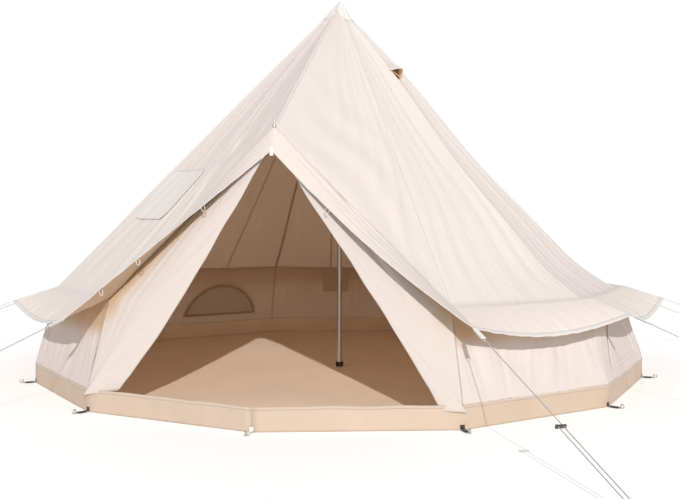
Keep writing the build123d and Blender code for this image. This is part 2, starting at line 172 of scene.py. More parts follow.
class Paint:
    # a material's node tree, with one way to add a node
    def __init__(self, name):
        self.material = bpy.data.materials.new(name)
        self.material.use_nodes = True
        self.tree = self.material.node_tree
        self.shader = next(n for n in self.tree.nodes if n.type == "BSDF_PRINCIPLED")

    def node(self, kind, settings=None, values=None, out=0):
        made = self.tree.nodes.new(kind)
        for key, value in (settings or {}).items():
            if key == "stops":
                self.setStops(made.color_ramp, value)
            else:
                setattr(made, key, value)
        for key, value in (values or {}).items():
            self.feed(made.inputs[key], value)
        return Signal(self, made.outputs[out])

    def setStops(self, ramp, stops):
        while len(ramp.elements) < len(stops):
            ramp.elements.new(0.5)
        for element, (place, colour) in zip(ramp.elements, stops):
            element.position = place
            element.color = (*colour, 1)

    def feed(self, socket, value):
        if isinstance(value, Signal):
            self.tree.links.new(value.socket, socket)
        else:
            colour = isinstance(value, tuple) and len(value) == 3 and socket.type == "RGBA"
            socket.default_value = (*value, 1) if colour else value

    def place(self):
        return self.node("ShaderNodeTexCoord", out="Object")

    def clothPlace(self):
        # the cloth's own map, in metres across and down the cut
        spot = self.node("ShaderNodeUVMap", {"uv_map": "cut"})
        return [self.node("ShaderNodeSeparateXYZ", None, {0: spot}, out) for out in (0, 1)]

    def noise(self, where, scale, detail=3.0, rough=0.55):
        values = {"Vector": where, "Scale": scale, "Detail": detail, "Roughness": rough}
        return self.node("ShaderNodeTexNoise", None, values)

    def blend(self, share, first, second, kind="MIX"):
        settings = {"data_type": "RGBA", "blend_type": kind}
        return self.node("ShaderNodeMix", settings, {0: share, 6: first, 7: second}, 2)

    def letThrough(self, colour, share):
        # part of the light goes through the cloth
        through = self.node("ShaderNodeBsdfTranslucent", None, {"Color": colour})
        output = next(n for n in self.tree.nodes if n.type == "OUTPUT_MATERIAL")
        surface = Signal(self, self.shader.outputs[0])
        mixed = self.node("ShaderNodeMixShader", None, {0: share, 1: surface, 2: through})
        self.feed(output.inputs["Surface"], mixed)

    def finish(self, colour, roughness, height=None, depth=0.001, strength=1.0, **constants):
        self.feed(self.shader.inputs["Base Color"], colour)
        self.feed(self.shader.inputs["Roughness"], roughness)
        if height is not None:
            bump = {"Height": height, "Distance": depth, "Strength": strength}
            self.feed(self.shader.inputs["Normal"], self.node("ShaderNodeBump", None, bump))
        for key, value in constants.items():
            self.feed(self.shader.inputs[key.replace("_", " ")], value)
        return self.material


def dim(colour, share):
    return tuple(channel * share for channel in colour)


# The brim and flap colours are darker copies of the outer canvas: painted shade, toning down the sun that falls fully
# on these front pieces.
# The inner colour is painted light: the cloth is the same on both sides, and its inside is given a warm tan that
# stands in for the warm light coming through the canvas.
# The warm tan after the flap colour is painted shade, for the shadow under the eaves and under the hood's brim.
canvasLook = {
    "outer": (0.775, 0.735, 0.708), "inner": (0.76, 0.625, 0.49), "brim": (0.615, 0.56, 0.515),
    "flap": (0.565, 0.51, 0.465), "golden": (0.47, 0.325, 0.19), "thread": 0.0011, "stitch": 0.0042,
    "outerThrough": ((1.0, 0.88, 0.76), 0.20), "innerThrough": ((1.0, 0.86, 0.72), 0.66),
}


def canvasPaint(name, colour, stitchRows=(), tone=0.06, dirt=0.0, through=None, golden=False):
    # woven cotton: crossed threads, slubs, soft colour drift, and rows of stitches where there are any
    paint = Paint(name)
    across, down = paint.clothPlace()
    where = paint.place()
    spot = paint.node("ShaderNodeCombineXYZ", None, {0: across, 1: down, 2: 0.0})
    warp, weft = across.wave(canvasLook["thread"]), down.wave(canvasLook["thread"])
    weave = warp * weft * 0.5 + 0.5
    slub = paint.noise(spot * (900.0, 24.0, 1.0), 1.0, 2.0)
    slubAcross = paint.noise(spot * (24.0, 900.0, 1.0), 1.0, 2.0)
    drift = paint.noise(where, 1.7, 4.0)
    blotch = paint.noise(where, 9.0, 5.0, 0.6)
    crease = paint.noise(spot * (9.0, 2.2, 1.0), 1.0, 4.0, 0.6)
    shade = (drift * 0.55 + blotch * 0.45 - 0.5) * 2.2 + (slub + slubAcross - 1.0) * 0.22
    mask = (shade * 0.5 + 0.5).held()
    body = paint.blend(mask, dim(colour, 1 - tone), dim(colour, 1 + tone * 0.55))
    body = paint.blend(weave * 0.18, body, dim(colour, 0.84))
    height = weave * 0.16 + slub * 0.10 + slubAcross * 0.10 + crease * 1.7
    if dirt:
        low = paint.node("ShaderNodeSeparateXYZ", None, {0: where}, 2)
        soil = ((0.42 - low) * 2.4).held() * paint.noise(where, 14.0, 5.0, 0.65) * dirt
        body = paint.blend(soil, body, (0.50, 0.40, 0.30))
    if golden:   # painted shade: the colour is blended towards a warm tan where the mask is set, standing in for an eave's shadow and the warm light through the cloth above
        under = paint.node("ShaderNodeAttribute", {"attribute_name": "golden"}, None, 2)
        body = paint.blend(under * 0.92, body, canvasLook["golden"])
    for row in stitchRows:
        near = (across - row).size() < 0.0011
        dash = (down / canvasLook["stitch"]).part() < 0.68
        stitch = near * dash
        groove = (across - row).size() < 0.0022
        # painted shade: the groove beside each row of stitches is darkened a little, as well as pressed down in the
        # bump
        body = paint.blend(groove * 0.22, body, dim(colour, 0.66))
        body = paint.blend(stitch * 0.75, body, dim(colour, 0.80))
        height = height - groove * 0.5 + stitch * 0.8
    roughness = 0.86 + blotch * 0.1
    if through:
        paint.letThrough(*through)
    return paint.finish(body, roughness, height, 0.0011, 0.42, Sheen_Weight=0.12, Sheen_Roughness=0.6)


def sheetPaint(name, colour):
    # coated groundsheet: close weave under a dull coat, scuffs and soft creases
    paint = Paint(name)
    across, down = paint.clothPlace()
    where = paint.place()
    weave = across.wave(0.0016) * down.wave(0.0016) * 0.5 + 0.5
    drift, scuff = paint.noise(where, 1.3, 5.0, 0.6), paint.noise(where, 26.0, 6.0, 0.7)
    crease = paint.noise(where * (4.0, 4.0, 9.0), 1.0, 5.0, 0.6)
    mask = ((drift - 0.5) * 1.5 + (scuff - 0.5) * 0.6 + 0.5).held()
    body = paint.blend(mask, dim(colour, 0.90), dim(colour, 1.07))
    body = paint.blend(weave * 0.12, body, dim(colour, 0.8))
    height = weave * 0.15 + crease * 2.0
    return paint.finish(body, 0.52 + scuff * 0.2, height, 0.0016, 0.5, Specular_IOR_Level=0.35)


def tapePaint(name, colour, rib=0.0022):
    # woven tape: ribs across, edge cords and a little fluff
    paint = Paint(name)
    across, down = paint.clothPlace()
    where = paint.place()
    ribs = down.wave(rib) * 0.5 + 0.5
    cords = across.wave(rib * 1.4) * 0.5 + 0.5
    fluff = paint.noise(where, 420.0, 3.0)
    body = paint.blend((ribs * 0.35 + fluff * 0.4).held(), colour, dim(colour, 0.72))
    height = ribs * 0.6 + cords * 0.4 + fluff * 0.2
    return paint.finish(body, 0.8 + fluff * 0.12, height, 0.0006, 0.8, Sheen_Weight=0.1)


def ropePaint(name, colour):
    # braided cord: strands that cross on a slant
    paint = Paint(name)
    where = paint.place()
    x, y, z = [paint.node("ShaderNodeSeparateXYZ", None, {0: where}, out) for out in range(3)]
    slant = (x + y + z * 1.7).wave(0.0065)
    cross = (x - y + z * 1.3).wave(0.0058)
    braid = slant * cross * 0.5 + 0.5
    fluff = paint.noise(where, 600.0, 2.0)
    body = paint.blend((braid * 0.5 + fluff * 0.3).held(), dim(colour, 0.72), colour)
    return paint.finish(body, 0.74 + fluff * 0.15, braid, 0.0009, 0.9, Sheen_Weight=0.08)


def metalPaint(name, colour, rough, brushed=(4.0, 4.0, 260.0)):
    # drawn and zinc-plated steel: fine lines, cloudy bloom and rubbed patches
    paint = Paint(name)
    where = paint.place()
    lines = paint.noise(where * brushed, 1.0, 3.0)
    bloom, rub = paint.noise(where, 38.0, 5.0, 0.65), paint.noise(where, 9.0, 4.0)
    body = paint.blend((bloom * 0.8 + lines * 0.3 - 0.1).held(), dim(colour, 0.80), dim(colour, 1.08))
    roughness = rough + bloom * 0.14 + lines * 0.10 - rub * 0.06
    return paint.finish(body, roughness, lines * 0.4 + bloom * 0.3, 0.0004, 0.35, Metallic=1.0)


def mouldedPaint(name, colour, rough):
    # moulded rubber and plastic: fine grain and patches of dust
    paint = Paint(name)
    where = paint.place()
    grain, dust = paint.noise(where, 900.0, 2.0), paint.noise(where, 30.0, 5.0, 0.65)
    body = paint.blend((dust * 1.6 - 0.65).held() * 0.5, colour, (0.30, 0.26, 0.21))
    return paint.finish(body, rough + dust * 0.2, grain, 0.0003, 0.5)


def netPaint(name, thread, hole):
    # insect mesh: a fine square grid of threads over dark holes
    paint = Paint(name)
    across, down = paint.clothPlace()
    pitch = 0.0032
    grid = (across.wave(pitch) * 0.5 + 0.5).math("MAXIMUM", down.wave(pitch) * 0.5 + 0.5)
    line = ((grid - 0.55) * 4.0).held()
    drift = paint.noise(paint.place(), 7.0, 3.0)
    body = paint.blend(line, hole, thread)
    body = paint.blend((drift * 0.5).held(), body, dim(thread, 0.8))
    return paint.finish(body, 0.8 + drift * 0.1, line, 0.0006, 0.7, Alpha=line * 0.2 + 0.08)


def floorPaint():
    paint = Paint("studio_floor")
    tone = paint.noise(paint.place(), 0.6, 3.0)
    body = paint.blend(tone * 0.4, (0.94, 0.937, 0.935), (0.92, 0.917, 0.915))
    return paint.finish(body, 0.9, Emission_Color=(1, 1, 1, 1), Emission_Strength=0.16)


canvasOuter = canvasPaint("canvas_outer", canvasLook["outer"], through=canvasLook["outerThrough"])
canvasInner = canvasPaint("canvas_inner", canvasLook["inner"], through=canvasLook["innerThrough"])
# painted shade: the wall is a darker copy of the outer canvas, toning down how brightly the light falls on the
# upright wall
canvasWall = canvasPaint(
    "canvas_wall", dim(canvasLook["outer"], 0.92), dirt=0.35, through=canvasLook["outerThrough"], golden=True,
)
canvasShade = canvasPaint("canvas_inner_tape", (0.45, 0.355, 0.265))
canvasLining = canvasPaint("canvas_lining", (0.80, 0.60, 0.38))
canvasPocket = canvasPaint("canvas_pocket", (0.62, 0.49, 0.385))
canvasBrim = canvasPaint("canvas_brim", canvasLook["brim"], (-0.004, 0.004))
canvasSeam = canvasPaint("canvas_seam", dim(canvasLook["outer"], 0.87), (-0.006, 0.006))
canvasFlap = canvasPaint("canvas_flap", canvasLook["flap"], dirt=0.25, golden=True)
canvasPatch = canvasPaint("canvas_patch", dim(canvasLook["outer"], 0.86), (), 0.04)
# painted light and shade: the floor and the kerb's outer side are one groundsheet; the floor's colour is made lighter
# and the kerb's darker, standing in for the low sun falling faintly on the floor and fully on the upright kerb
groundSheet = sheetPaint("groundsheet", (0.97, 0.80, 0.64))
groundKerb = sheetPaint("groundsheet_kerb_side", (0.52, 0.41, 0.318))
heatCloth = sheetPaint("heat_cloth", (0.55, 0.52, 0.48))
paleTape = tapePaint("pale_tape", (0.84, 0.82, 0.77))
darkTape = tapePaint("dark_tape", (0.035, 0.033, 0.03))
ropeCord = ropePaint("guy_cord", (0.50, 0.50, 0.49))
poleSteel = metalPaint("pole_steel_tube", (0.66, 0.67, 0.68), 0.26)
zincSteel = metalPaint("zinc_wire", (0.60, 0.61, 0.62), 0.34, (60.0, 60.0, 60.0))
blackRubber = mouldedPaint("black_rubber_moulding", (0.03, 0.03, 0.03), 0.6)
darkPlastic = mouldedPaint("dark_plastic", (0.05, 0.05, 0.05), 0.42)
insectNet = netPaint("insect_net", (0.62, 0.50, 0.39), (0.46, 0.37, 0.29))
print("materials made")


def gridPiece(
    name, points, cut, materials, thick=0.0, body="tent", holes=None, closed=False, golden=None,
):
    # a sheet through a grid of points, rows by columns, with its place on the flat cut in metres
    rows, cols = points.shape[:2]
    index = np.arange(rows * cols).reshape(rows, cols)
    right = np.roll(index, -1, axis=1) if closed else index[:, 1:]
    left = index if closed else index[:, :-1]
    faces = np.stack([left[:-1], left[1:], right[1:], right[:-1]], axis=-1).reshape(-1, 4)
    if holes is not None:
        faces = faces[~holes.reshape(-1)]
    mesh = bpy.data.meshes.new(name)
    mesh.from_pydata(points.reshape(-1, 3).tolist(), [], faces.tolist())
    layer = mesh.uv_layers.new(name="cut")
    corners = np.zeros(len(mesh.loops), np.int32)
    mesh.loops.foreach_get("vertex_index", corners)
    layer.data.foreach_set("uv", cut.reshape(-1, 2)[corners].astype(np.float32).reshape(-1))
    if golden is not None:
        warm = mesh.attributes.new("golden", "FLOAT", "POINT")
        values = np.broadcast_to(golden, points.shape[:2]).astype(np.float32)
        warm.data.foreach_set("value", values.reshape(-1))
    for material in materials:
        mesh.materials.append(material)
    mesh.polygons.foreach_set("use_smooth", [True] * len(mesh.polygons))
    piece = bpy.data.objects.new(name, mesh)
    bpy.context.scene.collection.objects.link(piece)
    if thick:
        solid = piece.modifiers.new("thickness", "SOLIDIFY")
        solid.thickness = thick
        solid.offset = -1.0
        solid.material_offset = len(materials) - 1
    if body:
        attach(piece, body)
    return piece


def crossed(across, along, points):
    # the cut of a grid from its places across and along, each spread over the whole grid
    return np.stack([np.broadcast_to(across, points.shape[:2]), np.broadcast_to(along, points.shape[:2])], -1)


def settled(piece):
    # the piece with its modifiers made part of its mesh
    bpy.context.view_layer.update()
    mesh = bpy.data.meshes.new_from_object(piece.evaluated_get(bpy.context.evaluated_depsgraph_get()))
    piece.modifiers.clear()
    piece.data = mesh
    return piece


def joined(name, pieces):
    # several pieces of one kind as one piece
    chosen = {"active_object": pieces[0], "selected_editable_objects": pieces, "selected_objects": pieces}
    with bpy.context.temp_override(**chosen):
        bpy.ops.object.join()
    pieces[0].name = name
    return pieces[0]


def ripple(where, counts, seed):
    # a sum of sine waves with its own fixed phases
    dice = random.Random(seed)
    return sum(np.sin(2 * np.pi * (where * count + dice.random())) for count in counts) / len(counts)


def easeIn(value, low, high):
    share = np.clip((value - low) / (high - low), 0, 1)
    return share * share * (3 - 2 * share)


roofLook = {
    "sag": 0.016, "hoodSag": 0.020, "droop": 0.068, "fold": 0.0066, "fineFold": 0.0007, "pucker": 0.005,
    "brimReach": 0.055, "brimDrop": 0.133, "thick": 0.0016, "hoodFold": 0.0062, "peakDip": 0.024, "slump": 0.108,
    "doorDroop": (-0.012, 0.048), "capDown": 0.0644,
}


roofOut = (0.69, 0.72)   # the way out of the roof's face: from the pole, and up


def cornerLine(corner, down):
    # a corner line of the roof: from the peak (0) to the wall seam (1) and the eave (2)
    angle = np.radians(corner * sideAngle)
    door = np.mod(corner, 12) == 0
    upper, lower = np.minimum(down, 1), np.maximum(down - 1, 0)
    seamRadius = np.where(door, hoodReach, wallRadius)
    seamHeight = np.where(door, hoodHeight, wallHeight)
    flare = np.where(door, roofLook["brimReach"], eaveRadius - wallRadius)
    fall = np.where(door, -roofLook["brimDrop"], eaveHeight - wallHeight)
    radius = seamRadius * upper + flare * lower
    height = peakHeight + (seamHeight - peakHeight) * upper + fall * lower
    return np.stack([radius * np.sin(angle), -radius * np.cos(angle), height], axis=-1)


def slump(turn, down):
    # how far the roof hangs inside its straight lines, on the side that isn't pulled tight
    side = easeIn(np.mod(turn, 360), 15, 75) * (1 - easeIn(np.mod(turn, 360), 150, 250))
    return roofLook["slump"] * side * easeIn(down, 0.10, 0.62) * (1 - easeIn(down, 0.86, 1.10))


def roofSurface(turn, down, lift=0.0):
    # the roof's outer face: turn in degrees round from the door, down as for a corner line
    turn, down = np.broadcast_arrays(np.asarray(turn, float), np.asarray(down, float))
    corner = np.floor(turn / sideAngle + 1e-9)
    share = turn / sideAngle - corner
    flat = cornerLine(corner, down) * (1 - share)[..., None] + cornerLine(corner + 1, down) * share[..., None]
    door = np.isin(np.mod(corner, 12), (0, 11))
    span = np.hypot(flat[..., 0], flat[..., 1])
    radial = roofOut[0] / (span + 1e-6)
    out = np.stack([radial * flat[..., 0], radial * flat[..., 1], roofOut[1] + 0 * span], -1)
    belly = np.sin(np.pi * np.clip(share, 0, 1))
    upper, lower = np.minimum(down, 1), np.maximum(down - 1, 0)
    sag = np.where(door, roofLook["hoodSag"], roofLook["sag"]) * belly * np.sin(np.pi * upper ** 0.8 * 0.86)
    reach = np.clip(span / 0.9, 0, 1)
    around = turn / 360
    drift = around + 0.006 * ripple(down, (0.8, 1.9), 3)
    groups = 0.55 + 0.45 * ripple(around + 0.02 * down, (7, 11), 5)
    fold = roofLook["fold"] * reach * groups * ripple(drift, (31, 46, 65), 7)
    fold = fold * (1 - 0.5 * easeIn(down, 0.9, 1.1))
    fine = roofLook["fineFold"] * reach * ripple(drift, (143, 187), 9)
    pull = 0.006 * easeIn(down, 0.55, 0.8) * (1 - easeIn(down, 0.88, 1.0)) * np.abs(share - 0.5) * 2
    pull = pull * ripple(drift, (60, 84), 13)
    pucker = roofLook["pucker"] * lower ** 1.5 * ripple(around, (90, 132, 168), 11) * np.where(door, 0.35, 1)
    bands = np.sin(2 * np.pi * (down * 5.3 + 0.3 * ripple(around + 0.1 * down, (11, 17), 15)))
    bands = bands * easeIn(down, 0.42, 0.72)
    hoodFold = np.where(door, roofLook["hoodFold"], 0.0) * bands * belly ** 0.7 * (1 - lower)
    dip = roofLook["peakDip"] * easeIn(down, 0.012, 0.065) * (1 - easeIn(down, 0.09, 0.42))
    dip = dip * (0.6 + 0.4 * np.sin(np.radians(turn)))
    off = -sag - dip - slump(turn, down) + fold + fine + pull + pucker * belly ** 0.5 + hoodFold + lift
    point = flat + out * off[..., None]
    doorDroop = np.where(np.mod(corner, 12) == 0, roofLook["doorDroop"][1], roofLook["doorDroop"][0])
    droop = np.where(door, doorDroop, roofLook["droop"]) * belly ** 0.9 * lower ** 1.25
    point[..., 2] -= droop
    return point


def roofCut(turn, down):
    turn, down = np.broadcast_arrays(np.asarray(turn, float), np.asarray(down, float))
    share = turn / sideAngle - np.floor(turn / sideAngle + 1e-9) - 0.5
    chord = 2 * math.sin(math.radians(sideAngle / 2)) * wallRadius
    slant = math.hypot(wallRadius, peakHeight - wallHeight)
    return np.stack([share * chord * np.minimum(down, 1.15), down * slant], -1)


def buildRoof(settings={"columns": 70, "rows": 64, "eaveRows": 20}):
    turns = np.linspace(0, 360, 12 * settings["columns"] + 1)
    upper = np.linspace(roofLook["capDown"], 1.0, settings["rows"])
    downs = np.concatenate([[0.004, 0.02, 0.04], upper, np.linspace(1.0, 2.0, settings["eaveRows"])[1:]])
    grid = np.meshgrid(turns, downs)
    roof = gridPiece("roof_canvas", roofSurface(*grid), roofCut(*grid), [canvasOuter, canvasInner], roofLook["thick"])
    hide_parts("roof_panels", "hood_panels", "hood_brim", "eave_skirt")
    return roof


def roofBand(name, turns, downs, width, lift, material, straight=False):
    # a band of cloth on the roof, along a line of turns and downs, this wide
    turns, downs = np.broadcast_arrays(np.asarray(turns, float), np.asarray(downs, float))
    middle = roofSurface(turns, downs, lift)
    radius = np.hypot(middle[:, 0], middle[:, 1])
    slant = math.hypot(wallRadius, peakHeight - wallHeight)
    run = np.concatenate([[0], np.cumsum(np.linalg.norm(np.diff(middle, axis=0), axis=1))])
    shares = np.linspace(-0.5, 0.5, 5)
    columns = []
    for share in shares:
        if straight:   # the band runs round the tent
            step = share * width / np.where(downs > 1, eaveRadius - wallRadius + 0.014, slant)
            edge = np.minimum(downs + step, 2.0)
            columns.append(roofSurface(turns, edge, lift * (1 - 1.3 * abs(share))))
        else:
            swing = np.degrees(share * width / np.maximum(radius, 0.02))
            columns.append(roofSurface(turns + swing, downs, lift * (1 - 1.3 * abs(share))))
    points = np.stack(columns[::-1] if straight else columns, axis=1)
    return gridPiece(name, points, crossed(shares * width, run[:, None], points), [material], 0.0012)


def buildRoofSeams(settings={"width": 0.020, "lift": 0.0016, "hem": 0.026, "facing": 70}):
    downs = np.concatenate([np.linspace(0.062, 1, 70), np.linspace(1, 1.99, 22)[1:]])
    width, lift = settings["width"], settings["lift"]
    seams = [roofBand(f"seam_{step}", sideAngle * step, downs, width, lift, canvasSeam) for step in range(1, 12)]
    joined("roof_seams", seams)
    inner = [
        roofBand(f"inner_seam_{step}", sideAngle * step, downs[:70], 0.009, -0.0042, canvasShade)
        for step in range(1, 12)
    ]
    joined("roof_inner_seams", inner)
    roofBand("hood_ridge_seam", 0.0, np.linspace(0.062, 0.985, 60), 0.016, lift, canvasSeam)
    full = np.linspace(0.062, 1.97, 70)
    middle = [
        roofBand(f"panel_{step}", sideAngle * step + 15, full, 0.011, 0.0012, canvasSeam)
        for step in range(1, 11)
    ]
    joined("panel_seams", middle)
    around = np.linspace(sideAngle, 360 - sideAngle, 10 * 30 + 1)
    roofBand("eave_hem", around, 1.955, settings["hem"], 0.0018, canvasSeam, True)
    doorway = np.linspace(-sideAngle, sideAngle, 91)
    facing = np.linspace(-sideAngle, sideAngle, 2 * settings["facing"] + 1)
    grid = np.meshgrid(facing, np.linspace(1.0, 1.985, 20))
    gridPiece("brim_facing", roofSurface(*grid, 0.0012), roofCut(*grid)[..., ::-1], [canvasBrim], 0.0008)
    roofBand("brim_fold", doorway, 1.0, 0.016, 0.0024, canvasBrim, True)


def buildPeakCap():
    turns = np.linspace(0, 360, 12 * 16 + 1)
    downs = np.linspace(0.0, roofLook["capDown"], 9)
    grid = np.meshgrid(turns, downs)
    points = roofSurface(grid[0], grid[1], 0.0024)
    points[0] = (0, 0, peakHeight + 0.004)
    cap = gridPiece("peak_cap_canvas", points, roofCut(*grid), [canvasPatch, canvasInner], 0.0018)
    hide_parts("peak_cap")
    return cap


wallLook = {"slack": 0.007, "fine": 0.0022, "thick": 0.0016, "window": (0.64, 0.25, 0.075)}
wallTop = wallHeight - cloth
wallSlant = math.hypot((baseRadius - wallRadius) * math.cos(math.radians(15)), wallTop - kerbHeight)


def wallSurface(turn, rise, lift=0.0):
    # the wall's outer face: rise in metres up its slope from the kerb
    turn, rise = np.broadcast_arrays(np.asarray(turn, float), np.asarray(rise, float))
    share = turn / sideAngle - np.floor(turn / sideAngle + 1e-9)
    up = rise / wallSlant
    radius = baseRadius + (wallRadius - baseRadius) * up
    height = kerbHeight + (wallTop - kerbHeight) * up
    angle = np.radians((np.floor(turn / sideAngle + 1e-9) + 0.5) * sideAngle)
    half = (share - 0.5) * 2 * radius * math.sin(math.radians(15))
    apothem = radius * math.cos(math.radians(15))
    x = apothem * np.sin(angle) + half * np.cos(angle)
    y = -apothem * np.cos(angle) + half * np.sin(angle)
    calm = np.ones_like(share)
    sill = wallLook["window"][2]
    for window in windowTurns:
        off = np.abs(np.mod(turn - window + 180, 360) - 180)
        inside = (1 - easeIn(off, 9.0, 12.5)) * easeIn(rise, sill - 0.06, sill) * (1 - easeIn(rise, 0.36, 0.43))
        calm = calm * (1 - 0.9 * inside)
    held = np.clip(np.sin(np.pi * np.clip(up, 0, 1)), 0, 1)
    around = turn / 360
    slant = around + 0.010 * (up - 0.5) * ripple(around, (12,), 21)
    slack = wallLook["slack"] * held ** 0.7 * ripple(slant, (36, 55, 83), 17)
    fine = wallLook["fine"] * (0.35 + held) * ripple(slant, (150, 205), 19)
    fine = fine * easeIn(1 - np.abs(share - 0.5) * 2, 0, 0.1)
    cross = 0.0055 * held ** 0.7 * ripple(around + 0.035 * up, (22, 37), 23)
    off = (slack + fine + cross) * calm + lift
    give = slump(turn, 1.0) * easeIn(rise, wallSlant - 0.16, wallSlant)
    out = off * 0.96 - give * roofOut[0]
    z = height + off * 0.27 - give * roofOut[1]
    return np.stack([x + np.sin(angle) * out, y - np.cos(angle) * out, z], -1)


def buildWallSeams(settings={"width": 0.009, "doorWidth": 0.006, "lift": 0.0016}):
    seams = []
    rises = np.linspace(wallSlant - 0.004, 0.002, 40)
    for step in range(1, 12):
        door = step in (1, 11)
        width = settings["doorWidth"] if door else settings["width"]
        swings = np.degrees(np.linspace(-0.5, 0.5, 5) * width / baseRadius)
        places = [min(max(step * sideAngle + swing, sideAngle), 360 - sideAngle) for swing in swings]
        points = np.stack([wallSurface(place, rises, settings["lift"]) for place in places], axis=1)
        cut = crossed(swings / swings[-1] * width / 2, rises[:, None], points)
        seams.append(gridPiece(f"wall_corner_{step}", points, cut, [canvasShade if door else canvasSeam], 0.001))
    joined("wall_corner_seams", seams)


def panelSpot(window, across, rise):
    # the turn and rise of a spot on a wall panel, from its place across and up in metres
    up = rise / wallSlant
    half = (baseRadius + (wallRadius - baseRadius) * up) * math.sin(math.radians(15))
    return window + 15 * across / half, rise


def moonHeight(across, width, moon):
    # the height of the half-moon's arc over its straight edge
    radius = (width * width / 4 + moon * moon) / (2 * moon)
    return np.sqrt(np.maximum(radius * radius - across * across, 0)) - (radius - moon)


def buildWalls(settings={"columns": 72, "rows": 42}):
    turns = np.linspace(sideAngle, 360 - sideAngle, 10 * settings["columns"] + 1)
    rises = np.linspace(wallSlant, 0.0, settings["rows"])
    grid = np.meshgrid(turns, rises)
    centreTurn = (grid[0][1:, 1:] + grid[0][:-1, :-1]) / 2
    centreRise = (grid[1][1:, 1:] + grid[1][:-1, :-1]) / 2
    width, moon, sill = wallLook["window"]
    holes = np.zeros_like(centreTurn, bool)
    for window in windowTurns:
        half = (baseRadius + (wallRadius - baseRadius) * centreRise / wallSlant) * math.sin(math.radians(15))
        across = (np.mod(centreTurn - window + 180, 360) - 180) / 15 * half
        inside = (np.abs(across) < width / 2) & (np.abs(across) < half)
        inside &= (centreRise > sill) & (centreRise - sill < moonHeight(across, width, moon))
        holes |= inside
    chord = 2 * math.sin(math.radians(15)) * baseRadius
    cut = np.stack([grid[0] / sideAngle * chord, grid[1]], -1)
    points = wallSurface(*grid)
    points[0] = roofSurface(turns, 0.997, -0.0045)
    points[1] = (points[0] + points[2]) / 2
    # painted shade: from 0.36 m up, the wall is tinted towards the warm shade colour, standing in for the eave's
    # shadow on it
    under = easeIn(points[..., 2], 0.36, 0.47)
    layers = [canvasWall, canvasInner]
    wall = gridPiece("wall_canvas", points, cut, layers, wallLook["thick"], holes=holes, golden=under)
    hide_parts("wall_panels")
    return wall


def moonPatch(
    name, window, grow, lift, material, body, thick, bulge=0.0, foot=0.0, rows=16, columns=44,
):
    # a half-moon of cloth on the wall, larger than the window by grow on every side
    width, moon, sill = wallLook["window"]
    width, moon, sill = width + 2 * grow, moon + 2 * grow - foot, sill - grow + foot
    across = np.sin(np.linspace(-np.pi / 2, np.pi / 2, columns)) * width / 2
    tall = np.maximum(moonHeight(across, width, moon), 0.004)
    share = np.linspace(1, 0, rows)[:, None]
    spots = np.broadcast_to(across, (rows, columns))
    rise = sill + share * tall
    full = np.sin(np.pi * share) * np.sin(np.pi * (across / width + 0.5))
    turn, rise = panelSpot(window, spots, rise)
    points = wallSurface(turn, rise, lift + bulge * full)
    cut = np.stack([spots, rise], -1)
    piece = gridPiece(name, points, cut, material, thick, body)
    width * moon * 0.77
    return piece


def moonOutline(grow, foot=0.0, steps=64):
    width, moon, sill = wallLook["window"]
    width, moon, sill = width + 2 * grow, moon + 2 * grow - foot, sill - grow + foot
    radius = (width * width / 4 + moon * moon) / (2 * moon)
    start = math.asin((radius - moon) / radius)
    arc = np.linspace(start, math.pi - start, steps)
    curve = np.stack([radius * np.cos(arc), sill + radius * np.sin(arc) - (radius - moon)], -1)
    base = np.linspace(-width / 2, width / 2, steps // 2)[1:-1]
    return np.concatenate([curve, np.stack([base, np.full_like(base, sill)], -1)])


def outlineBand(name, window, grow, width, low, high, material, body="tent", foot=0.0):
    # a closed band round a half-moon, this wide, between two heights over the wall
    line = moonOutline(grow, foot)
    ahead, behind = np.roll(line, -1, axis=0), np.roll(line, 1, axis=0)
    along = ahead - behind
    along /= np.linalg.norm(along, axis=1)[:, None]
    side = np.stack([along[:, 1], -along[:, 0]], -1)
    section = [(-0.5, low), (-0.42, high), (0.0, high + 0.0008), (0.42, high), (0.5, low)]
    if low < 0:
        section += [(0.42, low - 0.0015), (-0.42, low - 0.0015)]
    rings = []
    for share, lift in section:
        turn, rise = panelSpot(window, *(line + side * share * width).T)
        rings.append(wallSurface(turn, rise, lift))
    points = np.stack(rings + [rings[0]], axis=0)
    run = np.concatenate([[0], np.cumsum(np.linalg.norm(np.diff(line, axis=0), axis=1))])
    places = np.array([share for share, lift in section] + [section[0][0]]) * width
    return gridPiece(name, points, crossed(places[:, None], run, points), [material], 0.0, body, closed=True)


def buildWindows():
    frames = []
    for number, window in enumerate(windowTurns, 1):
        net = moonPatch(
            f"window_mesh_{number}", window, 0.006, -0.0018, [insectNet], "tent", 0.0006,
        )
        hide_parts("window_meshes")
        frames.append(outlineBand(f"binding_{number}", window, 0.0, 0.018, -0.0024, 0.0010, canvasShade))
        body = f"window_cover_{number}_body"
        cover = moonPatch(
            f"window_cover_canvas_{number}", window, 0.018, 0.0046, [canvasWall, canvasInner], body,
            0.0014, 0.006, 0.006,
        )
        outlineBand(
            f"window_piping_{number}", window, 0.017, 0.010, 0.0026, 0.0066, canvasSeam, body, foot=0.012,
        )
        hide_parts(f"window_cover_{number}")
    joined("window_bindings", frames)


def doorFrame(side):
    # the leg line beside the door: its top, its run to the foot, and the ways across and outwards
    corner = rim(baseRadius, side * sideAngle, kerbHeight)
    sill = Vector((0, corner.y, kerbHeight))
    edge = corner - eyelet
    outwards = Vector((1, 0, 0)).cross(eyelet - sill).normalized()
    inwards = edge.cross(outwards).normalized() * side
    return edge, inwards, outwards


